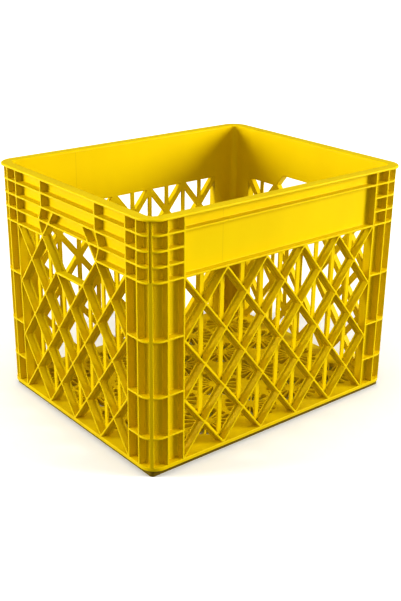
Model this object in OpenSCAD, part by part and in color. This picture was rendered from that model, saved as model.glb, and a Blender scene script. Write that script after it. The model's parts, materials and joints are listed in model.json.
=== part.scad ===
// Rectangular dairy crate: ribbed shell with diamond lattice sides,
// hand holds in the short sides and an openwork floor.
// Origin: centre of the footprint on the floor, +Z up, +X along the long side.

/* [Body] */
// Length between the outer faces of the ribs
body_l = 376; // [320:1:460]
// Width between the outer faces of the ribs
body_w = 303; // [260:1:380]
// Overall height
body_h = 292; // [240:1:350]
// Outer radius of the vertical corners
corner_r = 19; // [15:1:21]
// Wall from the outer faces of the ribs to the inner face
wall = 11; // [9:0.5:14]

/* [Skin and ribs] */
// Thickness of the closed skin and of the inner flange of the bars
skin = 2.5; // [2:0.1:4]
// Thickness of the standing ribs
rib_t = 2.4; // [1.8:0.1:3.5]
// Number of rib spaces between the rim and the lower edge of the band
band_rows = 4; // [3:1:5]
// Distance between the ribs of the band
band_pitch = 16.6; // [14:0.1:20]

/* [Corner posts] */
// Distance from the short side to the inner rib of a post
post_l = 46; // [40:1:60]
// Distance from the long side to the inner rib of a post
post_w = 42; // [38:1:56]
// Distance from the short side to the first rib of a post
first_rib_l = 24; // [22:1:34]
// Distance from the long side to the first rib of a post
first_rib_w = 22; // [22:1:30]
// Width of the double rib on the corner diagonal
apex_w = 4.6; // [4:0.2:7]
// Groove between the two halves of the diagonal rib
apex_gap = 1.6; // [1:0.1:2.4]

/* [Rim] */
// Thickness of the rim
rim_t = 2.7; // [2:0.1:5]
// Distance that the rim stands out past the ribs
rim_lip = 2.6; // [1:0.1:5]

/* [Lattice] */
// Diamonds along a long side
long_diamonds = 5; // [3:1:8]
// Diamonds along a short side
short_diamonds = 4; // [4:2:6]
// Rows of diamonds
diamond_rows = 3; // [2:1:5]
// Width of the inner flange of a diagonal or upright bar
bar_flange = 7.6; // [5:0.2:10]
// Share of that width that an upright bar keeps
upright_share = 0.8; // [0.6:0.05:1]
// Distance that the uprights stay behind the diagonals
upright_set = 2; // [0:0.5:4]

/* [Hand hold] */
// Height of the grip bar
grip_h = 3; // [2:0.5:5]
// How far the opening narrows on each side at its top edge
hold_slant = 13; // [8:1:20]
// How far the zigzag rib beside the opening swings out
hold_swing = 7; // [4:1:9]

/* [Base] */
// Height of the foot below the base flange
foot_h = 7; // [5.5:0.1:12]
// Distance that the foot stays behind the ribs
foot_set = 5; // [2:0.5:8]
// Outer corner radius of the foot
foot_r = 4; // [2:1:10]
// Thickness of the base flange
base_t = 4.7; // [3:0.1:8]
// Thickness of the plain floor
floor_t = 2.5; // [2:0.1:4]
// Plain border of the floor inside the walls
floor_edge = 7; // [4:1:14]
// Round openings of the floor along the length
cells_l = 5; // [4:1:7]
// Round openings of the floor across the width
cells_w = 4; // [3:1:6]
// Least width of floor left between two round openings
floor_bar = 4; // [4:0.5:7]
// Wall of the collar round each opening
collar_t = 1.5; // [1:0.1:1.8]
// Depth of the collars, hubs and spokes under the top of the floor
floor_rib_h = 7; // [4.5:0.5:7]
// Diameter of the hub in each round opening
hub_d = 16; // [14:1:24]
// Spokes in each round opening
spokes = 16; // [8:4:16]
// Width of a floor spoke
spoke_w = 2.2; // [1.6:0.1:2.6]

/* [Hidden] */
$fn = 64;

rib_d = wall - skin;                          // depth of the ribs outside the skin
base_z = foot_h + base_t;                     // top of the base flange
band_top = body_h - rim_t;                    // underside of the rim
band_z = band_top - band_rows * band_pitch;   // lower edge of the closed band
half_l = body_l / 2 - post_l;                 // half of a long side between the posts
half_w = body_w / 2 - post_w;                 // half of a short side between the posts
rise = (band_z - base_z) / diamond_rows;      // height of one diamond
hold_p = 2 * half_w / short_diamonds;         // width of one diamond on a short side
grip_z = band_z - rise / 2;                   // level of the grip bar
hold_top = band_z + band_pitch;               // upper edge of the hand hold
post_levels = [0.70, 0.395, 0.165];           // shelf heights as parts of the lattice height
floor_l = body_l - 2 * (wall + floor_edge);   // field of the round openings, along the length
floor_w = body_w - 2 * (wall + floor_edge);   // and across the width
cell_l = (floor_l + floor_bar) / cells_l;
cell_w = (floor_w + floor_bar) / cells_w;
cell_r = (min(cell_l, cell_w) - floor_bar) / 2;
floor_rib_z = base_z - floor_rib_h;           // underside of the collars, hubs and spokes
yellow = "#f7d700";

// Rectangle with round corners, centred
module round_rect(l, w, r) {
    square([l - 2 * r, w], center = true);
    square([l, w - 2 * r], center = true);
    for (x = [-1, 1], y = [-1, 1])
        translate([x * (l / 2 - r), y * (w / 2 - r)]) circle(r);
}

// Ring between two insets from the outer faces of the ribs
module ring(outer, inner, r) {
    difference() {
        round_rect(body_l - 2 * outer, body_w - 2 * outer, r - outer);
        round_rect(body_l - 2 * inner, body_w - 2 * inner, max(corner_r - inner, 2));
    }
}

// Places a wall drawn along X, its outer rib faces on y = 0 and its depth
// along +Y, on side 0 front, 1 right, 2 back or 3 left
module on_side(side) {
    reach = side % 2 == 0 ? body_w / 2 : body_l / 2;
    rotate([0, 0, 90 * side]) translate([0, -reach, 0]) children();
}

// Stands a flat drawing (u along the wall, v up) between two depths
module upright(from, to) {
    translate([0, to, 0]) rotate([90, 0, 0]) linear_extrude(to - from) children();
}

// Straight strip of the drawing from one point to another
module strip(a, b, t) {
    d = b - a;
    translate(a) rotate(atan2(d[1], d[0])) translate([0, -t / 2]) square([norm(d), t]);
}

module window(half, z0, z1) {
    translate([-half, z0]) square([2 * half, z1 - z0]);
}

// Plate with diamond openings between diagonals bar wide. Where there is a
// hand hold, one large opening takes the place of the three in the middle
module lattice_sheet(half, count, bar, hold) {
    p = 2 * half / count;
    slope = atan2(rise, p);
    side = bar / 2 / sin(slope);
    dx = p / 2 - side;
    dz = rise / 2 - bar / 2 / cos(slope);
    lip = 1;
    module diamond() polygon([[dx, 0], [0, dz], [-dx, 0], [0, -dz]]);
    difference() {
        window(half, base_z, band_z);
        for (k = [0 : count - 1], j = [0 : diamond_rows])
            if (!(hold && j == 0 && abs(2 * k + 1 - count) == 1))
                translate([-half + (k + 0.5) * p, band_z - j * rise]) diamond();
        for (k = [0 : count], j = [0 : diamond_rows - 1])
            if (!(hold && j == 0 && 2 * k == count))
                translate([-half + k * p, band_z - (j + 0.5) * rise]) diamond();
        if (hold)
            polygon([
                [0, grip_z - dz], [p - side, band_z], [p - side, band_z + lip],
                [-p + side, band_z + lip], [-p + side, band_z]
            ]);
    }
}

// Upright bars, each between two crossings of the diagonals. Every other one
// ends at the lowest crossing, and those under a hand hold start below it
module uprights(half, count, stem, hold) {
    for (n = [1 : 2 * count - 1]) {
        beside = abs(n - count);
        top = !hold || beside > 1 ? band_z : beside == 1 ? grip_z : band_z - rise;
        low = n % 2 == 0 ? base_z : base_z + rise / 2;
        translate([(n / count - 1) * half - stem / 2, low]) square([stem, top - low]);
    }
}

module lattice(half, count, hold) {
    // thin standing webs, the uprights a little behind the diagonals
    upright(0, rib_d) lattice_sheet(half, count, rib_t, hold);
    upright(upright_set, rib_d) uprights(half, count, rib_t, hold);
    // wide flanges on the inner face
    upright(rib_d, wall) {
        lattice_sheet(half, count, bar_flange, hold);
        uprights(half, count, bar_flange * upright_share, hold);
    }
}

// Closed band with a smooth sunk panel between its top and bottom ribs
module label_panel() {
    upright(rib_d, wall) window(half_l, band_z, band_top);
    for (z = [band_z, band_top - band_pitch])
        upright(0, rib_d) window(half_l, z, z + rib_t);
}

// Closed band round the upper half of a hand hold
module hand_hold() {
    in_top = hold_p - hold_slant;
    module opening(t) {
        polygon([
            [-hold_p + t, band_z - 1], [hold_p - t, band_z - 1], [hold_p - t, band_z],
            [in_top - t, hold_top], [-in_top + t, hold_top],
            [-hold_p + t, band_z]
        ]);
    }
    upright(rib_d, wall) difference() {
        window(half_w, band_z, band_top);
        opening(rib_t / 2);
    }
    upright(0, rib_d) difference() {
        intersection() {
            window(half_w, band_z, band_top);
            union() {
                for (k = [0 : band_rows - 1]) {
                    z = band_z + k * band_pitch;
                    window(half_w, z, z + rib_t);
                }
                for (s = [-1, 1]) {
                    low = [s * hold_p, band_z];
                    out = [s * (hold_p + hold_swing), hold_top + rib_t / 2];
                    high = [s * hold_p, hold_top + band_pitch + rib_t / 2];
                    inner = [s * (hold_p - 2 * hold_slant), high[1]];
                    strip(low, out, rib_t);
                    strip(out, high, rib_t);
                    strip(high, [s * hold_p, band_top], rib_t);
                    strip(low, inner, rib_t);
                }
            }
        }
        opening(rib_t);
    }
}

// Bar across the lower edge of a hand hold
module grip_bar() {
    slope = hold_p / rise;
    module across(t, h) {
        side = t / 2 / sin(atan2(rise, hold_p));
        low = hold_p / 2 - side - h * slope;
        polygon([
            [-hold_p / 2 + side, grip_z], [hold_p / 2 - side, grip_z],
            [low, grip_z - h], [-low, grip_z - h]
        ]);
    }
    upright(0, rib_d) across(rib_t, grip_h);
    upright(rib_d, wall) across(bar_flange, bar_flange);
}

// One corner of the shell, drawn at the corner with both sides positive
module corner_outline(d) {
    r = corner_r - d;
    intersection() {
        translate([d, d]) {
            translate([r, 0]) square([post_l + post_w, post_l + post_w]);
            translate([0, r]) square([post_l + post_w, post_l + post_w]);
            translate([r, r]) circle(r);
        }
        square([post_l, post_w]);
    }
}

module corner_strip(from, to) {
    difference() {
        corner_outline(from);
        corner_outline(to);
    }
}

module corner_post() {
    tall = band_top - base_z;
    // smooth skin
    translate([0, 0, base_z]) linear_extrude(tall) corner_strip(rib_d, wall);
    // shelves round the corner
    shelf_z = concat(
        [for (k = [0 : band_rows - 1]) band_z + k * band_pitch],
        [for (f = post_levels) base_z + f * (band_z - base_z) - rib_t / 2]
    );
    for (z = shelf_z)
        translate([0, 0, z]) linear_extrude(rib_t) corner_strip(0, rib_d);
    // standing ribs
    translate([0, 0, base_z]) linear_extrude(tall) {
        translate([first_rib_l - rib_t / 2, 0]) square([rib_t, rib_d]);
        translate([post_l - rib_t, 0]) square([rib_t, rib_d]);
        translate([0, first_rib_w - rib_t / 2]) square([rib_d, rib_t]);
        translate([0, post_w - rib_t]) square([rib_d, rib_t]);
    }
    // double rib on the diagonal
    translate([0, 0, base_z]) linear_extrude(tall) intersection() {
        corner_strip(0, rib_d);
        rotate(45) translate([0, -apex_w / 2]) square([corner_r, apex_w]);
    }
}

module apex_groove() {
    depth = 2.5;
    reach = corner_r * sqrt(2) - corner_r;
    translate([0, 0, band_z + rib_t]) linear_extrude(body_h)
        rotate(45) translate([0, -apex_gap / 2]) square([reach + depth, apex_gap]);
}

module post_at(sx, sy) {
    flip_x = sx > 0 ? 1 : 0;
    flip_y = sy > 0 ? 1 : 0;
    translate([sx * body_l / 2, sy * body_w / 2, 0])
        mirror([flip_x, 0, 0]) mirror([0, flip_y, 0])
            difference() {
                corner_post();
                apex_groove();
            }
}

module rim() {
    color(yellow) translate([0, 0, band_top]) linear_extrude(rim_t)
        ring(-rim_lip, wall, corner_r);
}

module front_left_post() { color(yellow) post_at(-1, -1); }
module front_right_post() { color(yellow) post_at(1, -1); }
module back_right_post() { color(yellow) post_at(1, 1); }
module back_left_post() { color(yellow) post_at(-1, 1); }

module front_label_panel() { color(yellow) on_side(0) label_panel(); }
module back_label_panel() { color(yellow) on_side(2) label_panel(); }

module left_hand_hold() { color(yellow) on_side(3) hand_hold(); }
module right_hand_hold() { color(yellow) on_side(1) hand_hold(); }
module left_grip_bar() { color(yellow) on_side(3) grip_bar(); }
module right_grip_bar() { color(yellow) on_side(1) grip_bar(); }

module front_lattice() { color(yellow) on_side(0) lattice(half_l, long_diamonds, false); }
module back_lattice() { color(yellow) on_side(2) lattice(half_l, long_diamonds, false); }
module left_lattice() { color(yellow) on_side(3) lattice(half_w, short_diamonds, true); }
module right_lattice() { color(yellow) on_side(1) lattice(half_w, short_diamonds, true); }

module base_flange() {
    color(yellow) translate([0, 0, foot_h]) linear_extrude(base_t) ring(0, wall, corner_r);
}

module each_cell() {
    for (i = [0 : cells_l - 1], j = [0 : cells_w - 1])
        translate([(i - (cells_l - 1) / 2) * cell_l, (j - (cells_w - 1) / 2) * cell_w])
            children();
}

// Floor plate with its round openings, each with a collar that hangs below
module floor_plate() {
    color(yellow) {
        translate([0, 0, base_z - floor_t]) linear_extrude(floor_t) difference() {
            round_rect(body_l - 2 * wall, body_w - 2 * wall, max(corner_r - wall, 2));
            each_cell() circle(cell_r);
        }
        translate([0, 0, floor_rib_z]) linear_extrude(floor_rib_h) each_cell() difference() {
            circle(cell_r + collar_t);
            circle(cell_r);
        }
    }
}

// Hub and spokes that fill each round opening
module floor_stars() {
    color(yellow) translate([0, 0, floor_rib_z]) linear_extrude(floor_rib_h) each_cell() {
        circle(hub_d / 2);
        intersection() {
            circle(cell_r);
            for (a = [0 : 360 / spokes : 359])
                rotate(a) translate([0, -spoke_w / 2]) square([cell_l, spoke_w]);
        }
    }
}

module stacking_foot() {
    color(yellow) linear_extrude(foot_h) difference() {
        round_rect(body_l - 2 * foot_set, body_w - 2 * foot_set, foot_r);
        round_rect(body_l - 2 * wall, body_w - 2 * wall, max(corner_r - wall, 2));
    }
}

rim();
front_left_post();
front_right_post();
back_right_post();
back_left_post();
front_label_panel();
back_label_panel();
left_hand_hold();
right_hand_hold();
left_grip_bar();
right_grip_bar();
front_lattice();
back_lattice();
left_lattice();
right_lattice();
base_flange();
floor_plate();
floor_stars();
stacking_foot();
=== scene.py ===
import json
import math

import bmesh
import bpy
from mathutils import Matrix, Vector
from mathutils.geometry import delaunay_2d_cdt

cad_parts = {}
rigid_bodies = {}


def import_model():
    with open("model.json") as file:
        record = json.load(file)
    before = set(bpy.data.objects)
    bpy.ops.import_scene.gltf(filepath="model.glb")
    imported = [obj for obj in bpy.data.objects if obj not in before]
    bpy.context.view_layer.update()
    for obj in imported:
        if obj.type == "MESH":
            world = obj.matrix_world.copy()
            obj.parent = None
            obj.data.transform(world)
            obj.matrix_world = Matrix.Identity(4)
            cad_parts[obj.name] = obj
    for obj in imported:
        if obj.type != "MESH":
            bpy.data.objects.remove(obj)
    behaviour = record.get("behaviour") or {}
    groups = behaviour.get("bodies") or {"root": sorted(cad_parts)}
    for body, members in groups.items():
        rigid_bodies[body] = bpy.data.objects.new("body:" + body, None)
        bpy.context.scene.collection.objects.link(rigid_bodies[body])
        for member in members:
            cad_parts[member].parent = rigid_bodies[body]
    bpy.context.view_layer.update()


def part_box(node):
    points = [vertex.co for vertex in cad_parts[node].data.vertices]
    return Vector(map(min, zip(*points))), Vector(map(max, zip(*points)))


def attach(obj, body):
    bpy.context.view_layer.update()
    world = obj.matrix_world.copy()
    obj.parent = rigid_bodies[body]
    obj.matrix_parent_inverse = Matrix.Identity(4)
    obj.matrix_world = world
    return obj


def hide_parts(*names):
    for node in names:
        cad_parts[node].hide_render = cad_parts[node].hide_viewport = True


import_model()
mm = 0.001

# sizes that every piece shares, in metres

ribLow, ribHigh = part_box("base_flange")
rimLow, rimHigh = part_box("rim")
panelLow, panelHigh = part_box("front_label_panel")
sideLow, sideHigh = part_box("left_hand_hold")
floorLow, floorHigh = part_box("floor_plate")
footLow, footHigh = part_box("stacking_foot")
gripLow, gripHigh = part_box("left_grip_bar")

shell = {
    "halfLength": ribHigh.x,  # centre to the outer faces of the ribs
    "halfWidth": ribHigh.y,
    "corner": 19 * mm,  # radius round the outside of the ribs
    "wall": ribHigh.x - floorHigh.x,
    "skin": 2.5 * mm,
    "rib": 2.4 * mm,
    "lip": 0.55 * mm,  # rounding of every outer edge
    "root": 0.8 * mm,  # fillet where a rib meets the skin
    "soft": 0.7 * mm,  # rounding of a flat bar's edges
    "draft": 0.12 * mm,  # ribs thicken by this towards the skin
    "baseTop": ribHigh.z,
    "bandLow": panelLow.z,
    "bandTop": panelHigh.z,
    "bandRows": 4,
    "tuck": 1.6 * mm,  # how far a piece reaches into its neighbour
    "reveal": 0.4 * mm,  # how far an open edge hides in its neighbour
}
ribDepth = shell["wall"] - shell["skin"]
halfRib = shell["rib"] / 2
bandPitch = (shell["bandTop"] - shell["bandLow"]) / shell["bandRows"]
ledges = [shell["bandLow"] + halfRib + k * bandPitch for k in range(shell["bandRows"])]


class Wire:
    # one socket of a node tree, which can be added, multiplied and so on
    def __init__(self, tree, socket):
        self.tree, self.socket = tree, socket

    def maths(self, operation, first, second):
        return self.tree.add("Math", {"operation": operation}, {0: first, 1: second}).out()

    def __add__(self, other):
        return self.maths("ADD", self, other)

    def __radd__(self, other):
        return self.maths("ADD", other, self)

    def __sub__(self, other):
        return self.maths("SUBTRACT", self, other)

    def __rsub__(self, other):
        return self.maths("SUBTRACT", other, self)

    def __mul__(self, other):
        return self.maths("MULTIPLY", self, other)

    def __rmul__(self, other):
        return self.maths("MULTIPLY", other, self)

    def __truediv__(self, other):
        return self.maths("DIVIDE", self, other)

    def __mod__(self, other):
        return self.maths("MODULO", self, other)

    def __lt__(self, other):
        return self.maths("LESS_THAN", self, other)

    def __abs__(self):
        return self.tree.add("Math", {"operation": "ABSOLUTE"}, {0: self}).out()


class Added:
    def __init__(self, tree, node):
        self.tree, self.node = tree, node

    def out(self, which=0):
        return Wire(self.tree, self.node.outputs[which])


class Tree:
    # adds nodes to one shader or geometry tree
    def __init__(self, nodeTree, family):
        self.nodeTree, self.family = nodeTree, family

    def add(self, kind, settings=None, sockets=None):
        prefix = "ShaderNode" if kind in ("Math", "VectorMath", "Mix", "CombineXYZ") else self.family
        node = self.nodeTree.nodes.new(kind if kind.startswith("Node") else prefix + kind)
        for name, value in (settings or {}).items():
            if name == "stops":
                setStops(node.color_ramp, value)
            else:
                setattr(node, name, value)
        for key, value in (sockets or {}).items():
            if isinstance(value, Wire):
                self.nodeTree.links.new(value.socket, node.inputs[key])
            else:
                node.inputs[key].default_value = value
        return Added(self, node)


def setStops(ramp, stops):
    while len(ramp.elements) < len(stops):
        ramp.elements.new(0.5)
    for element, (position, shade) in zip(ramp.elements, stops):
        element.position = position
        element.color = (shade, shade, shade, 1)


class GeoTree(Tree):
    # a geometry node group with named inputs
    def __init__(self, name, inputs):
        group = bpy.data.node_groups.new(name, "GeometryNodeTree")
        super().__init__(group, "GeometryNode")
        face = group.interface
        face.new_socket(name="Geometry", in_out="INPUT", socket_type="NodeSocketGeometry")
        self.ids = {}
        for title, kind in inputs.items():
            socket = face.new_socket(name=title, in_out="INPUT", socket_type="NodeSocket" + kind)
            self.ids[title] = socket.identifier
        face.new_socket(name="Geometry", in_out="OUTPUT", socket_type="NodeSocketGeometry")
        self.entry = self.add("NodeGroupInput")

    def given(self, title):
        return self.entry.out(title)

    def close(self, geometry):
        # instances become real, and the finish goes on last
        real = self.add("RealizeInstances", None, {"Geometry": geometry})
        named = self.add("SetMaterial", None, {"Geometry": real.out(), "Material": self.given("Finish")})
        self.add("NodeGroupOutput", None, {"Geometry": named.out()})


def runTree(piece, tree, values):
    # evaluates the tree on the piece and keeps the result as a plain mesh
    modifier = piece.modifiers.new("shape", "NODES")
    modifier.node_group = tree.nodeTree
    for title, value in values.items():
        modifier[tree.ids[title]] = value
    graph = bpy.context.evaluated_depsgraph_get()
    mesh = bpy.data.meshes.new_from_object(piece.evaluated_get(graph), depsgraph=graph)
    made = bpy.data.objects.new(piece.name + "Mesh", mesh)
    bpy.context.scene.collection.objects.link(made)
    name = piece.name
    bpy.data.objects.remove(piece)
    made.name = name
    return made


plastic = {
    "yellow": (0.66, 0.483, 0.0004, 1),
    "paler": (0.70, 0.527, 0.0006, 1),
    "scuff": (0.76, 0.61, 0.03, 1),
    "dustAndShade": (0.30, 0.19, 0.03, 1),
    "paintedShade": (0.085, 0.055, 0.008, 1),  # dark brown painted shade for the foot, which stands in the shadow under the flange
    "roughness": 0.34,
    "gloss": 0.10,
    "flowScale": 9,  # slow colour change along the flow of the melt
    "cloudScale": 38,
    "grainScale": 1900,
    "waveScale": 55,
    "scratchScale": 240,
    "knitWidth": 0.9 * mm,  # faint line where the melt met itself
    "knitPlace": -86 * mm,
    "scuffShow": 0.45,  # how strongly each mark shows in the colour
    "knitShow": 0.18,
    "cloudRough": 0.10,  # what each adds to the roughness
    "scuffRough": 0.22,
    "dustRough": 0.35,
    "grain": {"Strength": 0.10, "Distance": 0.05 * mm},
    "wave": {"Strength": 0.25, "Distance": 0.35 * mm},
    "scuffHeight": 0.06,
    "paintedShadeGaps": 0.3,  # how far the clouds thin the painted shade
}


def hdpeFinish(name, wear, grimeAndShade, knitLine=None, paintedShade=0.0):
    # moulded polyethylene: even yellow, soft gloss, fine grain, scuffs and dust low down, which on the foot
    # is also painted shade;
    # painted shade, a dark brown, covers the whole piece when asked for
    material = bpy.data.materials.new(name)
    material.use_nodes = True
    material.node_tree.nodes.clear()
    tree = Tree(material.node_tree, "ShaderNode")
    spot = tree.add("TexCoord").out("Object")

    def noise(scale, detail, rough=0.5, stretch=None):
        where = spot
        if stretch:
            where = tree.add("Mapping", None, {"Vector": spot, "Scale": stretch}).out()
        sockets = {"Vector": where, "Scale": scale, "Detail": detail, "Roughness": rough}
        return tree.add("TexNoise", None, sockets).out(0)

    def ramp(value, low, high, fromShade=0.0, toShade=1.0):
        stops = [(low, fromShade), (high, toShade)]
        return tree.add("ValToRGB", {"stops": stops}, {0: value}).out(0)

    def blend(amount, first, second):
        sockets = {0: amount, 6: first, 7: second}
        return tree.add("Mix", {"data_type": "RGBA"}, sockets).out(2)

    flow = noise(plastic["flowScale"], 3, 0.6, (1, 1, 0.35))
    cloud = noise(plastic["cloudScale"], 4, 0.55)
    streaks = ramp(noise(plastic["scratchScale"], 5, 0.7, (1, 1, 0.06)), 0.62, 0.72)
    rubbed = ramp(noise(plastic["scratchScale"], 6, 0.75, (0.10, 0.4, 1)), 0.60, 0.70)
    patches = ramp(noise(21, 3), 0.45, 0.65)
    scuffs = (streaks + rubbed) * patches * wear
    height = tree.add("SeparateXYZ", None, {0: spot}).out(2)
    low = ramp(height * (1 / shell["bandLow"]), 0.0, 0.35, 1.0, 0.0)
    # brown dust in patches, darker towards the bottom; on the foot, turned up high, it is painted shade
    dustAndShade = ramp(cloud, 0.42, 0.75) * low * grimeAndShade

    colour = blend(ramp(flow, 0.35, 0.70), plastic["yellow"], plastic["paler"])
    colour = blend(scuffs * plastic["scuffShow"], colour, plastic["scuff"])
    colour = blend(dustAndShade, colour, plastic["dustAndShade"])
    # painted shade: the whole piece goes dark brown, standing for the shadow under the flange
    if paintedShade > 0:
        colour = blend(paintedShade - cloud * plastic["paintedShadeGaps"], colour, plastic["paintedShade"])
    if knitLine is not None:
        across = abs(tree.add("SeparateXYZ", None, {0: spot}).out(0) - knitLine)
        line = ramp(across / plastic["knitWidth"], 0.0, 1.0, 1.0, 0.0)
        colour = blend(line * plastic["knitShow"], colour, plastic["dustAndShade"])
    roughness = plastic["roughness"] + cloud * plastic["cloudRough"]
    roughness = roughness + scuffs * plastic["scuffRough"] + dustAndShade * plastic["dustRough"]

    grain = noise(plastic["grainScale"], 2)
    wave = noise(plastic["waveScale"], 2)
    fine = tree.add("Bump", None, {**plastic["grain"], "Height": grain})
    relief = wave + scuffs * plastic["scuffHeight"]
    broad = tree.add("Bump", None, {**plastic["wave"], "Height": relief, "Normal": fine.out()})
    shader = tree.add("BsdfPrincipled", None, {
        "Base Color": colour, "Roughness": roughness, "Normal": broad.out(),
        "IOR": 1.5, "Specular IOR Level": plastic["gloss"],
    })
    tree.add("OutputMaterial", None, {"Surface": shader.out()})
    return material


shellFinish = hdpeFinish("shellPlastic", wear=0.35, grimeAndShade=0.10)
rimFinish = hdpeFinish("rimPlastic", wear=0.8, grimeAndShade=0.0)
baseFinish = hdpeFinish("basePlastic", wear=0.7, grimeAndShade=0.30)
# painted shade: the foot's heavy dust and dark brown stand for the shadow under the base flange
footFinish = hdpeFinish("footPlastic", wear=0.5, grimeAndShade=0.9, paintedShade=1.0)
panelFinish = hdpeFinish("panelPlastic", wear=0.35, grimeAndShade=0.10, knitLine=plastic["knitPlace"])
print("finishes ready")


def roundCorners(points, radii, steps):
    # the outline with each corner turned into an arc of its own radius; radius 0 keeps the corner
    result = []
    for i, point in enumerate(points):
        before, after = points[i - 1], points[(i + 1) % len(points)]
        way, leave = (point - before).normalized(), (after - point).normalized()
        turn = math.atan2(way.x * leave.y - way.y * leave.x, way.dot(leave))
        if radii[i] == 0 or abs(turn) < 0.01:
            result.append([point])
            continue
        side = math.copysign(1, turn)
        spoke = Vector((way.y, -way.x)) * radii[i] * side
        centre = point - way * radii[i] * math.tan(abs(turn) / 2) - spoke
        result.append([centre + Matrix.Rotation(turn * s / steps, 2) @ spoke for s in range(steps + 1)])
    return result


def quarter(startDepth, startInset, depthStep, insetStep, steps=3, leaveFirst="depth"):
    # points on a quarter round that goes from the start by both steps
    points = []
    for s in range(steps + 1):
        angle = math.pi / 2 * s / steps
        early, late = math.sin(angle), 1 - math.cos(angle)
        if leaveFirst == "depth":
            points.append((startDepth + depthStep * early, startInset + insetStep * late))
        else:
            points.append((startDepth + depthStep * late, startInset + insetStep * early))
    return points


class Loop:
    # one closed outline of a wall; each edge says how much of the inset it follows and its own extra
    def __init__(self, corners, edges, profile, radius=0.0, steps=3, splitStep=None):
        self.corners = [Vector(c) for c in corners]
        self.edges, self.profile, self.steps = edges, profile, steps
        self.radii = radius if isinstance(radius, list) else [radius] * len(edges)
        self.splits = [1] * len(edges)
        if splitStep:
            for i, corner in enumerate(self.corners):
                run = abs(self.corners[(i + 1) % len(self.corners)].x - corner.x)
                self.splits[i] = max(1, math.ceil(run / splitStep))

    def ring(self, inset):
        count = len(self.corners)
        lines = []
        for i, (follow, extra) in enumerate(self.edges):
            way = (self.corners[(i + 1) % count] - self.corners[i]).normalized()
            inward = Vector((-way.y, way.x))
            lines.append((self.corners[i] + inward * (follow * inset + extra), way))
        crossings, radii = [], []
        for i in range(count):
            (here, way), (there, other) = lines[i - 1], lines[i]
            gap = there - here
            t = (gap.x * other.y - gap.y * other.x) / (way.x * other.y - way.y * other.x)
            crossings.append(here + way * t)
            free = self.edges[i - 1][0] != 0 and self.edges[i][0] != 0
            radii.append(self.radii[i] if free else 0)
        arcs = roundCorners(crossings, radii, self.steps)
        points = []
        for i, arc in enumerate(arcs):
            points += arc
            start, stop = arc[-1], arcs[(i + 1) % count][0]
            points += [start.lerp(stop, s / self.splits[i]) for s in range(1, self.splits[i])]
        return points


class RoundLoop:
    # a full circle as an outline
    def __init__(self, radius, profile, steps=64):
        self.radius, self.profile, self.steps = radius, profile, steps

    def ring(self, inset):
        reach = self.radius - inset
        angles = [2 * math.pi * s / self.steps for s in range(self.steps)]
        return [Vector((reach * math.cos(a), reach * math.sin(a))) for a in angles]


def capWall(bm, rings, place, inner=()):
    # fills the first ring, leaving out the others, with well shaped triangles
    coords, corners, faces = [], [], []
    for points, depth, verts in rings:
        faces.append(list(range(len(coords), len(coords) + len(points))))
        coords += [Vector(p) / mm for p in points]
        corners += verts
    depth = rings[0][1]
    for point in inner:
        coords.append(Vector(point) / mm)
        corners.append(None)
    made = delaunay_2d_cdt(coords, [], faces, 1, 1e-5)
    for triangle, owners in zip(made[2], made[5]):
        if set(owners) != {0}:
            continue
        for index in triangle:
            source = made[3][index][0]
            if corners[source] is None:
                corners[source] = bm.verts.new(place(*(coords[source] * mm), depth))
        used = [corners[made[3][index][0]] for index in triangle]
        if len(set(used)) == 3:
            bm.faces.new(used)


def mouldWall(name, place, border, openings=(), pockets=(), fill=None, sides=True, boss=None):
    # one mesh: front, back, edges, openings that go through and pockets that don't;
    # a boss stands out of the back and takes the openings through it
    bm = bmesh.new()

    def ringsOf(loop):
        rings = []
        for depth, inset in loop.profile:
            points = loop.ring(inset)
            rings.append((points, depth, [bm.verts.new(place(p.x, p.y, depth)) for p in points]))
        return rings

    def wallsOf(rings):
        for (_, _, one), (_, _, two) in zip(rings, rings[1:]):
            for i in range(len(one)):
                bm.faces.new((one[i - 1], one[i], two[i], two[i - 1]))

    edge = ringsOf(border)
    through = [ringsOf(loop) for loop in openings]
    blind = [ringsOf(loop) for loop in pockets]
    collar = [ringsOf(boss)] if boss else []
    for rings in through + blind + collar + ([edge] if sides else []):
        wallsOf(rings)
    capWall(bm, [edge[0]] + [r[0] for r in through + blind], place)
    back = edge[-1]
    if boss:
        capWall(bm, [back, collar[0][0]], place)
        back = collar[0][-1]
    capWall(bm, [back] + [r[-1] for r in through], place, fill(back[0]) if fill else ())
    for rings in blind:
        capWall(bm, [rings[-1]], place, fill(rings[-1][0]) if fill else ())
    return finishMesh(name, bm)


def finishMesh(name, bm, weld=1e-6):
    bmesh.ops.remove_doubles(bm, verts=bm.verts, dist=weld)
    loose = [v for v in bm.verts if not v.link_faces]
    bmesh.ops.delete(bm, geom=loose, context="VERTS")
    bmesh.ops.recalc_face_normals(bm, faces=bm.faces)
    mesh = bpy.data.meshes.new(name)
    bm.to_mesh(mesh)
    bm.free()
    piece = bpy.data.objects.new(name, mesh)
    bpy.context.scene.collection.objects.link(piece)
    return piece


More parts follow.
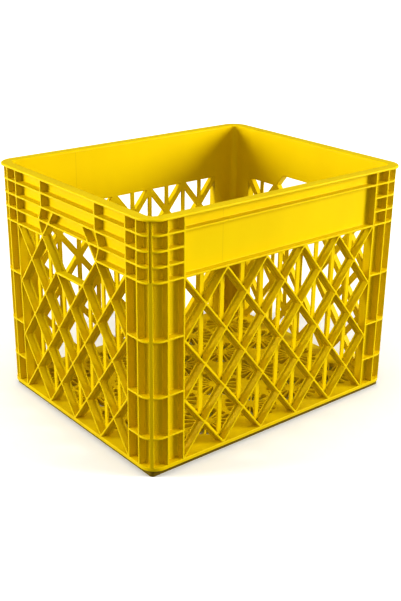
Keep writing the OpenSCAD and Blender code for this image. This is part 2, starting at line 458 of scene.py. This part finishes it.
def settle(piece, finish, *nodes):
    # smooth faces that stay flat where they are flat, then the piece takes its nodes' place
    mesh = piece.data
    bm = bmesh.new()
    bm.from_mesh(mesh)
    bmesh.ops.remove_doubles(bm, verts=bm.verts, dist=1e-6)
    bmesh.ops.recalc_face_normals(bm, faces=bm.faces)
    bm.to_mesh(mesh)
    bm.free()
    mesh.materials.clear()
    mesh.materials.append(finish)
    mesh.polygons.foreach_set("use_smooth", [True] * len(mesh.polygons))
    mesh.polygons.foreach_set("material_index", [0] * len(mesh.polygons))
    mesh.set_sharp_from_angle(angle=math.radians(50))
    modifier = piece.modifiers.new("flat", "WEIGHTED_NORMAL")
    modifier.keep_sharp = True
    modifier.weight = 90
    graph = bpy.context.evaluated_depsgraph_get()
    piece.data = bpy.data.meshes.new_from_object(piece.evaluated_get(graph), depsgraph=graph)
    piece.modifiers.clear()
    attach(piece, "root")
    if nodes:
        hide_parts(*nodes)
    print(piece.name, len(piece.data.polygons), "faces")
    return piece


def onSide(side):
    # along, up and depth of side 0 front, 1 right, 2 back, 3 left, to a place in the crate
    reach = shell["halfWidth"] if side % 2 == 0 else shell["halfLength"]
    turn = Matrix.Rotation(math.radians(90 * side), 3, "Z")
    return lambda u, v, d: turn @ Vector((u, d - reach, v))


def onCorner(signX, signY):
    # u runs round the corner, 0 on the diagonal, below 0 on the short side
    radius = shell["corner"]
    bend = radius * math.pi / 4

    def place(u, v, d):
        x, y = shell["halfLength"] - radius, shell["halfWidth"] - radius
        angle = math.pi / 4 + max(-bend, min(bend, u)) / radius
        x += (radius - d) * math.cos(angle) - max(0, u - bend)
        y += (radius - d) * math.sin(angle) - max(0, -u - bend)
        return Vector((signX * x, signY * y, v))

    return place


def lyingAt(top):
    return lambda u, v, d: Vector((u, v, top - d))


def rectangle(left, low, right, high):
    return [(left, low), (right, low), (right, high), (left, high)]


def edgeProfile(front, back, half, lip):
    # a rib seen from its side: rounded at the front and at the back
    return quarter(front, half - lip, lip, lip, leaveFirst="inset") + quarter(back - lip, half, lip, -lip)


def pocketProfile(front, half):
    # from the front of a rib down to the skin
    lip, root = shell["lip"], shell["root"]
    wide = half + shell["draft"]
    front = quarter(front, half - lip, lip, lip, leaveFirst="inset")
    return front + quarter(ribDepth - root, wide, root, root)


def barProfile(front, back, half, flange):
    # a lattice bar: thin web, fillet, wide flange on the inner face
    lip, root, soft = shell["lip"], shell["root"], shell["soft"]
    wide = half + shell["draft"]
    return (
        quarter(front, half - lip, lip, lip, leaveFirst="inset")
        + quarter(ribDepth - root, wide, root, root)
        + quarter(ribDepth, flange - soft, soft, soft, leaveFirst="inset")
        + quarter(back - soft, flange, soft, -soft)
    )


free, held = (1, 0), (0, -shell["reveal"])
outward = (-1, 0)
fixed = (0, 0)

post = {
    "ribsLong": (24 * mm, 44.8 * mm),  # rib centres from the short side
    "ribsShort": (22 * mm, 40.8 * mm),  # rib centres from the long side
    "apexHalf": 2.3 * mm,
    "shelves": (0.165, 0.395, 0.70),  # shares of the lattice height
    "groove": 2.0 * mm,
    "grooveDepth": 2 * mm,
    "grooveLip": 0.3 * mm,
    "grooveTaper": 0.1 * mm,
    "front": 0.06 * mm,
    "back": 0.06 * mm,
    "step": 2 * mm,  # spacing of the points round the bend
    "radius": 0.9 * mm,
}


def makePost(name, signX, signY, node):
    bend = shell["corner"] * (math.pi / 4 - 1)
    lattice = shell["bandLow"] - shell["baseTop"]
    columns = [-(s + bend) for s in reversed(post["ribsShort"])] + [0] + [s + bend for s in post["ribsLong"]]
    rows = [shell["baseTop"]] + [shell["baseTop"] + f * lattice for f in post["shelves"]]
    rows += ledges + [shell["bandTop"]]
    front, back = post["front"], shell["wall"] - post["back"]
    step, apexExtra = post["step"], post["apexHalf"] - halfRib

    def fill(points):
        low, high = min(p.y for p in points), max(p.y for p in points)
        left, right = min(p.x for p in points), max(p.x for p in points)
        across = max(1, math.ceil((right - left) / step))
        up = max(1, math.ceil((high - low) / (4 * step)))
        return [
            (left + (right - left) * i / across, low + (high - low) * j / up)
            for i in range(1, across) for j in range(1, up)
        ]

    pockets = []
    for i, (left, right) in enumerate(zip(columns, columns[1:])):
        for j, (low, high) in enumerate(zip(rows, rows[1:])):
            edges = [
                held if j == 0 else free,
                (1, apexExtra) if right == 0 else free,
                held if j == len(rows) - 2 else free,
                (1, apexExtra) if left == 0 else free,
            ]
            outline = rectangle(left, low, right, high)
            pockets.append(Loop(outline, edges, pocketProfile(front, halfRib), post["radius"], 3, step))
    half, lip = post["groove"] / 2, post["grooveLip"]
    groove = quarter(front, -lip, lip, lip, leaveFirst="inset")
    groove += [(post["grooveDepth"], post["grooveTaper"])]
    outline = rectangle(-half, ledges[0] + halfRib, half, shell["bandTop"])
    pockets.append(Loop(outline, [free, free, held, free], groove))

    low, high = shell["baseTop"] - shell["tuck"], shell["bandTop"] + shell["tuck"]
    border = Loop(
        rectangle(columns[0], low, columns[-1], high), [fixed, outward, fixed, outward],
        edgeProfile(front, back, halfRib, shell["lip"]), 0, 3, step,
    )
    piece = mouldWall(name, onCorner(signX, signY), border, (), pockets, fill)
    return settle(piece, shellFinish, node)


makePost("frontLeftPost", -1, -1, "front_left_post")
makePost("frontRightPost", 1, -1, "front_right_post")
makePost("backRightPost", 1, 1, "back_right_post")
makePost("backLeftPost", -1, 1, "back_left_post")

band = {
    "front": 0.12 * mm,
    "back": 0.12 * mm,
    "radius": 1.2 * mm,
    "holdSlant": 26 * mm,  # how far the inner slanted rib leans over two rows
    "holdSwing": 7 * mm,  # how far the zigzag rib swings out
}


def bandBorder(half, notch=()):
    front, back = band["front"], shell["wall"] - band["back"]
    reach, high = half + shell["tuck"], shell["bandTop"] + shell["tuck"]
    corners = [(-reach, ledges[0]), *notch, (reach, ledges[0]), (reach, high), (-reach, high)]
    edges = [outward] * (len(notch) + 1) + [fixed] * 3
    return Loop(corners, edges, edgeProfile(front, back, halfRib, shell["lip"]), band["radius"])


def makeLabelPanel(name, side, node):
    half, top = panelHigh.x, shell["bandTop"]
    profile = pocketProfile(band["front"], halfRib)
    pockets = [
        Loop(rectangle(-half, ledges[0], half, ledges[-1]), [free, held, free, held], profile),
        Loop(rectangle(-half, ledges[-1], half, top), [free, held, held, held], profile),
    ]
    settle(mouldWall(name, onSide(side), bandBorder(half), (), pockets), panelFinish, node)


def makeHandHold(name, side, node):
    half, top = sideHigh.y, shell["bandTop"]
    pitch = half / 2
    profile = pocketProfile(band["front"], halfRib)
    foot = Vector((pitch, shell["bandLow"]))
    swing = Vector((pitch + band["holdSwing"], ledges[1]))
    slope = band["holdSlant"] / (ledges[2] - shell["bandLow"])

    def slanted(z):
        return pitch - slope * (z - shell["bandLow"])

    zigzagLow = foot.x + (swing.x - foot.x) * (ledges[0] - foot.y) / (swing.y - foot.y)
    pockets = []

    def pocket(corners, edges):
        pockets.append(Loop(corners, edges, profile, band["radius"]))

    for low, high, topEdge in ((ledges[3], top, held), (ledges[2], ledges[3], free)):
        pocket(rectangle(-pitch, low, pitch, high), [free, free, topEdge, free])
        pocket(rectangle(-half, low, -pitch, high), [free, free, topEdge, held])
        pocket(rectangle(pitch, low, half, high), [free, held, topEdge, free])
    inner, upper = slanted(ledges[1]), slanted(ledges[2])
    pocket([(-inner, ledges[1]), (inner, ledges[1]), (upper, ledges[2]), (-upper, ledges[2])], [free] * 4)
    for sign in (-1, 1):
        shapes = [
            ([(inner, ledges[1]), (swing.x, ledges[1]), (pitch, ledges[2]), (upper, ledges[2])], None),
            ([(swing.x, ledges[1]), (half, ledges[1]), (half, ledges[2]), (pitch, ledges[2])], 1),
            ([(zigzagLow, ledges[0]), (half, ledges[0]), (half, ledges[1]), (swing.x, ledges[1])], 1),
            ([tuple(foot), (swing.x, ledges[1]), (inner, ledges[1])], None),
        ]
        for corners, heldEdge in shapes:
            edges = [held if i == heldEdge else free for i in range(len(corners))]
            if sign < 0:  # mirrored, and turned round again to run the same way
                corners = [(-x, z) for x, z in reversed(corners)]
                edges = [edges[i - 2] for i in range(len(edges), 0, -1)]
            pocket(corners, edges)
    notch = [(-slanted(ledges[0]), ledges[0]), (-inner, ledges[1]),
             (inner, ledges[1]), (slanted(ledges[0]), ledges[0])]
    settle(mouldWall(name, onSide(side), bandBorder(half, notch), (), pockets), shellFinish, node)


makeLabelPanel("frontLabelPanel", 0, "front_label_panel")
makeLabelPanel("backLabelPanel", 2, "back_label_panel")
makeHandHold("rightHandHold", 1, "right_hand_hold")
makeHandHold("leftHandHold", 3, "left_hand_hold")

lattice = {
    "front": 0.25 * mm,
    "back": 0.22 * mm,
    "flange": 3.8 * mm,  # half width of the inner flange
    "rows": 3,
    "long": 5,  # diamonds along a long side
    "short": 4,
    "radius": 1.0 * mm,
}
latticeRise = (shell["bandLow"] - shell["baseTop"]) / lattice["rows"]


def makeLattice(name, side, half, count, hold, node):
    pitch = 2 * half / count
    front, back = lattice["front"], shell["wall"] - lattice["back"]
    profile = barProfile(front, back, halfRib, lattice["flange"])
    low, high = shell["baseTop"], shell["bandLow"]
    centres = [(-half + (k + 0.5) * pitch, high - j * latticeRise)
               for k in range(count) for j in range(lattice["rows"] + 1)]
    centres += [(-half + k * pitch, high - (j + 0.5) * latticeRise)
                for k in range(count + 1) for j in range(lattice["rows"])]
    openings = []
    slack = 0.01 * mm
    compass = ((1, 0), (0, 1), (-1, 0), (0, -1))
    for x, z in centres:
        if hold and abs(x) < pitch - slack and z > high - latticeRise + slack:
            continue
        tips = [(x + dx * pitch / 2, z + dz * latticeRise / 2) for dx, dz in compass]
        kept = [i for i, (tipX, tipZ) in enumerate(tips)
                if abs(tipX) < half + slack and low - slack < tipZ < high + slack]
        follows = [(kept[(n + 1) % len(kept)] - i) % 4 == 1 for n, i in enumerate(kept)]
        edges = [free if follow else held for follow in follows]
        openings.append(Loop([tips[i] for i in kept], edges, profile, lattice["radius"]))
    reach, top = half + shell["tuck"], high + shell["tuck"]
    corners = [(-reach, low - shell["tuck"]), (reach, low - shell["tuck"]), (reach, top), (-reach, top)]
    edges = [fixed] * 4
    if hold:
        wide = pitch * (latticeRise + shell["tuck"]) / latticeRise
        corners[3:3] = [(wide, top), (0, high - latticeRise), (-wide, top)]
        edges = [fixed] * 3 + [outward] * 2 + [fixed] * 2
    border = Loop(corners, edges, profile, lattice["radius"])
    return settle(mouldWall(name, onSide(side), border, openings), shellFinish, node)


for name, side, node in (("frontLattice", 0, "front_lattice"), ("backLattice", 2, "back_lattice")):
    makeLattice(name, side, panelHigh.x, lattice["long"], False, node)
for name, side, node in (("rightLattice", 1, "right_lattice"), ("leftLattice", 3, "left_lattice")):
    makeLattice(name, side, sideHigh.y, lattice["short"], True, node)

upright = {
    "flange": 3.05 * mm,  # half width of the flat strip
    "back": 0.34 * mm,
    "overrun": 1.2 * mm,
}


def profileCurve(name, corners, radii, steps=4):
    # a closed cross-section as a flat curve
    points = [p for arc in roundCorners([Vector(c) for c in corners], radii, steps) for p in arc]
    curve = bpy.data.curves.new(name, "CURVE")
    curve.dimensions = "3D"
    spline = curve.splines.new("POLY")
    spline.points.add(len(points) - 1)
    for point, target in zip(points, spline.points):
        target.co = (point.x, point.y, 0, 1)
    spline.use_cyclic_u = True
    piece = bpy.data.objects.new(name, curve)
    bpy.context.scene.collection.objects.link(piece)
    return piece


def barTree():
    # the piece's own cross-section stood up in a row of bars; every other one starts higher,
    # and the middle ones can be shorter
    sizes = {"Count": "Int", "Pitch": "Float", "Low": "Float", "Raise": "Float", "High": "Float",
             "Beside Middle": "Float", "Middle": "Float", "Finish": "Material"}
    tree = GeoTree("rowOfBars", sizes)
    path = tree.add("CurvePrimitiveLine", {"mode": "POINTS"}, {"Start": (0, 0, 0), "End": (0, 0, 1)})
    bar = tree.add("CurveToMesh", None, {
        "Curve": path.out(), "Profile Curve": tree.given("Geometry"), "Fill Caps": True,
    })
    halfSpan = (tree.given("Count") - 1) * tree.given("Pitch") / 2
    start = tree.add("CombineXYZ", None, {"X": 0 - halfSpan, "Z": tree.given("Low")})
    stride = tree.add("CombineXYZ", None, {"X": tree.given("Pitch")})
    row = tree.add("MeshLine", {"mode": "OFFSET"}, {
        "Count": tree.given("Count"), "Start Location": start.out(), "Offset": stride.out(),
    })
    index = tree.add("InputIndex").out()
    raised = (1 - index % 2) * tree.given("Raise")
    lift = tree.add("CombineXYZ", None, {"Z": raised})
    feet = tree.add("SetPosition", None, {"Geometry": row.out(), "Offset": lift.out()})
    order = abs(index - (tree.given("Count") - 1) / 2)
    high, beside, middle = tree.given("High"), tree.given("Beside Middle"), tree.given("Middle")
    top = high - (high - beside) * (order < 1.5) - (beside - middle) * (order < 0.5)
    size = tree.add("CombineXYZ", None, {"X": 1.0, "Y": 1.0, "Z": top - tree.given("Low") - raised})
    bars = tree.add("InstanceOnPoints", None, {
        "Points": feet.out(), "Instance": bar.out(), "Scale": size.out(),
    })
    tree.close(bars.out())
    return tree


rowOfBars = barTree()


def makeUprights(name, side, half, count, hold):
    wide, back = upright["flange"], shell["wall"] - upright["back"]
    corners = [(wide, ribDepth), (wide, back), (-wide, back), (-wide, ribDepth)]
    section = profileCurve(name, corners, [shell["soft"]] * 4)
    low, high = shell["baseTop"] - upright["overrun"], shell["bandLow"] + upright["overrun"]
    piece = runTree(section, rowOfBars, {
        "Count": 2 * count - 1, "Pitch": half / count, "Low": low, "Raise": latticeRise / 2, "High": high,
        "Beside Middle": high if not hold else shell["bandLow"] - latticeRise / 2,
        "Middle": high if not hold else shell["bandLow"] - latticeRise,
        "Finish": shellFinish,
    })
    placeMesh(piece, onSide(side))
    return settle(piece, shellFinish)


def placeMesh(piece, place):
    # x along the wall, y depth and z up become places in the crate
    for vertex in piece.data.vertices:
        vertex.co = place(vertex.co.x, vertex.co.z, vertex.co.y)


gripBar = {
    "inset": 0.3 * mm,  # behind the faces of the wall, front and back
    "thick": 3.0 * mm,
    "hang": 7.6 * mm,  # how far the inner lip hangs down
    "edge": 1.1 * mm,  # rounding
    "topEdge": 1.4 * mm,
    "lipFoot": 0.88 * mm,
    "clear": 0.6 * mm,  # short of the diagonals at each end
}


def makeGripBar(name, side, node):
    # a flat bar with a lip that hangs down on the inner side
    front, back = gripBar["inset"], shell["wall"] - gripBar["inset"]
    high, thick, hang, soft = gripHigh.z, gripBar["thick"], gripBar["hang"], gripBar["edge"]
    corners = [(0, front), (0, back), (-hang, back), (-hang, ribDepth), (-thick, ribDepth), (-thick, front)]
    section = profileCurve(name, corners, [gripBar["topEdge"], soft, soft, gripBar["lipFoot"], soft, soft])
    reach = sideHigh.y / lattice["short"] - gripBar["clear"]
    piece = runTree(section, rowOfBars, {
        "Count": 1, "Pitch": 0.0, "Low": -reach, "Raise": 0.0, "High": reach,
        "Beside Middle": reach, "Middle": reach, "Finish": shellFinish,
    })
    for vertex in piece.data.vertices:  # the bar was made standing: lay it down along the wall
        vertex.co = (vertex.co.z, vertex.co.y, high + vertex.co.x)
    placeMesh(piece, onSide(side))
    return settle(piece, shellFinish, node)


for name, side in (("frontUprights", 0), ("backUprights", 2)):
    makeUprights(name, side, panelHigh.x, lattice["long"], False)
for name, side in (("rightUprights", 1), ("leftUprights", 3)):
    makeUprights(name, side, sideHigh.y, lattice["short"], True)
makeGripBar("rightGripBar", 1, "right_grip_bar")
makeGripBar("leftGripBar", 3, "left_grip_bar")

rim = {
    "lipOut": rimHigh.x - ribHigh.x,
    "thick": rimHigh.z - rimLow.z,
    "outerTop": 1.2 * mm,
    "outerLow": 0.6 * mm,
    "innerTop": 2.2 * mm,
    "bendSteps": 14,
}


def ringTree():
    # the piece's own cross-section swept round a rectangle with round corners
    sizes = {"Length": "Float", "Width": "Float", "Corner": "Float", "Steps": "Int", "Finish": "Material"}
    tree = GeoTree("sweptRing", sizes)
    box = tree.add("CurvePrimitiveQuadrilateral", {"mode": "RECTANGLE"}, {
        "Width": tree.given("Length"), "Height": tree.given("Width"),
    })
    path = tree.add("FilletCurve", {"mode": "POLY"}, {
        "Curve": box.out(), "Radius": tree.given("Corner"), "Count": tree.given("Steps"),
    })
    swept = tree.add("CurveToMesh", None, {"Curve": path.out(), "Profile Curve": tree.given("Geometry")})
    tree.close(swept.out())
    return tree


sweptRing = ringTree()


def makeRing(name, corners, radii, finish, node):
    # the corners are distances out from the rib faces and heights
    section = [(x, -z) for x, z in corners]  # the sweep turns the cross-section over
    piece = runTree(profileCurve(name, section, radii, 4), sweptRing, {
        "Length": 2 * shell["halfLength"], "Width": 2 * shell["halfWidth"],
        "Corner": shell["corner"], "Steps": rim["bendSteps"], "Finish": finish,
    })
    return settle(piece, finish, node)


out, wall = rim["lipOut"], shell["wall"]
makeRing("rim", [
    (out, rimLow.z), (out, rimHigh.z), (-wall, rimHigh.z), (-wall, rimLow.z),
], [rim["outerLow"], rim["outerTop"], rim["innerTop"], 0.2 * mm], rimFinish, "rim")
makeRing("baseFlange", [
    (0, ribLow.z), (0, ribHigh.z), (-wall, ribHigh.z), (-wall, ribLow.z),
], [0.8 * mm, 0.9 * mm, 0, 0], baseFinish, "base_flange")


def roundRectangle(halfLength, halfWidth, profile, radius, edges=None):
    corners = rectangle(-halfLength, -halfWidth, halfLength, halfWidth)
    return Loop(corners, edges or [free] * 4, profile, radius, 8)


foot = {"corner": 4 * mm, "innerCorner": 8 * mm, "tread": 0.8 * mm}


def makeFoot():
    height = footHigh.z + 0.4 * mm  # reaches up into the base flange
    tread = foot["tread"]
    profile = [(0, 0)] + quarter(height - tread, 0, tread, tread)
    inner = [(0, 0)] + quarter(height - tread, 0, tread, -tread)
    border = roundRectangle(footHigh.x, footHigh.y, profile, foot["corner"])
    opening = roundRectangle(floorHigh.x, floorHigh.y, inner, foot["innerCorner"])
    return settle(mouldWall("stackingFoot", lyingAt(height), border, [opening]), footFinish, "stacking_foot")


makeFoot()

floor = {
    "edge": 7 * mm,  # plain border inside the walls
    "columns": 5,
    "rows": 4,
    "between": 4 * mm,  # least floor between two round openings
    "plate": 2.5 * mm,  # thickness of the plain floor
    "collar": 1.5 * mm,  # wall that hangs below round each opening
    "hub": 8 * mm,
    "slots": 16,
    "spoke": 2.2 * mm,
    "lip": 0.6 * mm,
    "slotEnd": 2.6 * mm,  # rounding of a slot's wide end
    "slotTip": 0.25 * mm,  # and of its narrow end by the hub
    "sink": 0.06 * mm,  # floor faces just inside the flange's
    "corner": 9 * mm,  # of the plate, inside the flange
    "weld": 0.02 * mm,
}


def petalLoop(cellRadius, angle, profile):
    # one slot between two spokes: narrow by the hub, wide and round at the outside
    half = math.pi / floor["slots"]
    grow = floor["spoke"] / 2  # the profile takes this off again all round
    far = (cellRadius + grow) / math.cos(half / 2)
    spots = [(floor["hub"] - grow, -half), (far, -half), (far, 0), (far, half), (floor["hub"] - grow, half)]
    corners = [(r * math.cos(angle + a), r * math.sin(angle + a)) for r, a in spots]
    tip, end = floor["slotTip"], floor["slotEnd"]
    return Loop(corners, [free] * 5, profile, [tip, end, 3 * end, end, tip], 3)


def floorTree():
    # one tile laid on a grid, welded to the border that comes in
    tree = GeoTree("floorOfTiles", {"Tile": "Object", "Columns": "Int", "Rows": "Int",
                                    "Cell Length": "Float", "Cell Width": "Float", "Finish": "Material"})
    columns, rows = tree.given("Columns"), tree.given("Rows")
    grid = tree.add("MeshGrid", None, {
        "Size X": tree.given("Cell Length") * (columns - 1), "Size Y": tree.given("Cell Width") * (rows - 1),
        "Vertices X": columns, "Vertices Y": rows,
    })
    pattern = tree.add("ObjectInfo", None, {"Object": tree.given("Tile")})
    tiles = tree.add("InstanceOnPoints", None, {
        "Points": grid.out(), "Instance": pattern.out("Geometry"),
    })
    laid = tree.add("RealizeInstances", None, {"Geometry": tiles.out()})
    joined = tree.add("JoinGeometry", None, {"Geometry": laid.out()})
    tree.nodeTree.links.new(tree.given("Geometry").socket, joined.node.inputs["Geometry"])
    welded = tree.add("MergeByDistance", None, {"Geometry": joined.out(), "Distance": floor["weld"]})
    tree.close(welded.out())
    return tree


def floorTile(place, cellLength, cellWidth, thick, deep):
    # one cell of the floor: round opening with its collar, hub and spokes
    cellRadius = (min(cellLength, cellWidth) - floor["between"]) / 2
    half, lip = floor["spoke"] / 2, floor["lip"]
    slotProfile = quarter(0, half - lip, lip, lip, 2, "inset") + quarter(deep - lip, half, lip, -lip, 2)
    angles = [2 * math.pi * (n + 0.5) / floor["slots"] for n in range(floor["slots"])]
    slots = [petalLoop(cellRadius, angle, slotProfile) for angle in angles]
    collar = RoundLoop(cellRadius + floor["collar"], [(thick, 0), (deep - lip, 0), (deep, lip)])
    outline = rectangle(-cellLength / 2, -cellWidth / 2, cellLength / 2, cellWidth / 2)
    border = Loop(outline, [fixed] * 4, [(0, 0), (thick, 0)])
    return mouldWall("floorTile", place, border, slots, sides=False, boss=collar)


def floorEdge(place, gridX, gridY, thick):
    # the plain border, left open towards the tiles
    flat = [(0, 0), (thick, 0)]
    reachX, reachY = floorHigh.x + shell["tuck"], floorHigh.y + shell["tuck"]
    outer = roundRectangle(reachX, reachY, flat, floor["corner"])
    inner = Loop(rectangle(-gridX, -gridY, gridX, gridY), [fixed] * 4, flat)
    inner.splits = [floor["columns"], floor["rows"]] * 2
    piece = mouldWall("floorPlate", place, outer, [inner])
    bm = bmesh.new()
    bm.from_mesh(piece.data)
    slack = 1.001

    def onGrid(face):
        across = max(abs(v.co.x) / gridX for v in face.verts)
        along = max(abs(v.co.y) / gridY for v in face.verts)
        return abs(face.normal.z) < 0.5 and across < slack and along < slack

    bmesh.ops.delete(bm, geom=[f for f in bm.faces if onGrid(f)], context="FACES_ONLY")
    bm.to_mesh(piece.data)
    bm.free()
    return piece


def makeFloor():
    top, low = floorHigh.z - floor["sink"], floorLow.z
    thick = floor["plate"] - 2 * floor["sink"]
    cellLength = (2 * (floorHigh.x - floor["edge"]) + floor["between"]) / floor["columns"]
    cellWidth = (2 * (floorHigh.y - floor["edge"]) + floor["between"]) / floor["rows"]
    place = lyingAt(top)
    tile = floorTile(place, cellLength, cellWidth, thick, top - low)
    border = floorEdge(place, cellLength * floor["columns"] / 2, cellWidth * floor["rows"] / 2, thick)
    piece = runTree(border, floorTree(), {
        "Tile": tile, "Columns": floor["columns"], "Rows": floor["rows"],
        "Cell Length": cellLength, "Cell Width": cellWidth, "Finish": baseFinish,
    })
    bpy.data.objects.remove(tile)
    return settle(piece, baseFinish, "floor_plate", "floor_stars")


makeFloor()

camera = {
    "place": (-0.70932, -0.86446, 0.56762),
    "heading": 39.4695,  # degrees from +Y towards +X
    "down": 22.0371,
    "roll": -0.747,
    "lens": 57.42,
    "film": 36.0,
}


def makeCamera():
    heading, down, roll = (math.radians(camera[k]) for k in ("heading", "down", "roll"))
    ahead = Vector((math.sin(heading) * math.cos(down), math.cos(heading) * math.cos(down), -math.sin(down)))
    right = Vector((math.cos(heading), -math.sin(heading), 0))
    below = ahead.cross(right)
    rightRolled = right * math.cos(roll) + below * math.sin(roll)
    belowRolled = below * math.cos(roll) - right * math.sin(roll)
    data = bpy.data.cameras.new("camera")
    data.sensor_fit = "VERTICAL"
    data.sensor_height = data.sensor_width = camera["film"]
    data.lens = camera["lens"]
    data.clip_start = 0.01
    eye = bpy.data.objects.new("camera", data)
    turn = Matrix((rightRolled, -belowRolled, -ahead)).transposed()
    eye.matrix_world = Matrix.Translation(camera["place"]) @ turn.to_4x4()
    bpy.context.scene.collection.objects.link(eye)
    bpy.context.scene.camera = eye


studio = {
    "sky": 0.20,
    "rightLight": {"place": (1.9, -2.0, 1.0), "size": 1.2, "power": 76},
    "leftLight": {"place": (-2.2, 1.4, 0.9), "size": 1.2, "power": 64},
    "frontLight": {"place": (-1.6, -2.0, 1.2), "size": 1.2, "power": 11},
    "topLight": {"place": (-0.2, -0.1, 2.3), "size": 1.6, "power": 12},
    "target": (0, 0, 0.15),
    "glowFrom": 0.6,  # the paper glows further out than this, so it stays white to the edges
    "glowTo": 2.4,
    "ground": 14,  # half the width of the paper on the ground
    "wall": 12,  # radius of the wall of paper round it, which only the camera sees
    "paper": (0.92, 0.92, 0.92, 1),
    "paperRoughness": 0.9,
}


def makePaper():
    # white paper that glows away from the crate
    paper = bpy.data.materials.new("paper")
    paper.use_nodes = True
    surface = paper.node_tree.nodes["Principled BSDF"]
    surface.inputs["Base Color"].default_value = studio["paper"]
    surface.inputs["Roughness"].default_value = studio["paperRoughness"]
    surface.inputs["Emission Strength"].default_value = 1.0
    tree = Tree(paper.node_tree, "ShaderNode")
    spot = tree.add("TexCoord").out("Object")
    reach = tree.add("VectorMath", {"operation": "LENGTH"}, {0: spot}).out("Value")
    share = (reach - studio["glowFrom"]) / (studio["glowTo"] - studio["glowFrom"])
    glow = tree.add("ValToRGB", {"stops": [(0.0, 0.0), (1.0, 1.0)]}, {0: share}).out(0)
    paper.node_tree.links.new(glow.socket, surface.inputs["Emission Color"])
    return paper


def hangPaper(name, bm, paper):
    mesh = bpy.data.meshes.new(name)
    bm.to_mesh(mesh)
    bm.free()
    mesh.materials.append(paper)
    sheet = bpy.data.objects.new(name, mesh)
    bpy.context.scene.collection.objects.link(sheet)
    return sheet


def makeStudio():
    paper = makePaper()
    bm = bmesh.new()
    bmesh.ops.create_grid(bm, x_segments=1, y_segments=1, size=studio["ground"])
    ground = hangPaper("studioFloor", bm, paper)
    ground.visible_diffuse = False
    bm = bmesh.new()
    radius = studio["wall"]
    bmesh.ops.create_cone(bm, segments=96, radius1=radius, radius2=radius, depth=radius)
    wall = hangPaper("studioWall", bm, paper)
    wall.visible_diffuse = wall.visible_glossy = wall.visible_shadow = False
    for name in ("rightLight", "leftLight", "frontLight", "topLight"):
        values = studio[name]
        data = bpy.data.lights.new(name, "AREA")
        data.shape = "DISK"
        data.size = values["size"]
        data.energy = values["power"]
        lamp = bpy.data.objects.new(name, data)
        lamp.location = values["place"]
        aim = Vector(studio["target"]) - Vector(values["place"])
        lamp.rotation_euler = aim.to_track_quat("-Z", "Y").to_euler()
        bpy.context.scene.collection.objects.link(lamp)
    world = bpy.data.worlds.new("studio")
    world.use_nodes = True
    world.node_tree.nodes["Background"].inputs["Color"].default_value = (1, 1, 1, 1)
    world.node_tree.nodes["Background"].inputs["Strength"].default_value = studio["sky"]
    bpy.context.scene.world = world
    bpy.context.scene.view_settings.view_transform = "Standard"
    bpy.context.scene.view_settings.look = "High Contrast"


makeStudio()
makeCamera()
print("studio and camera ready")
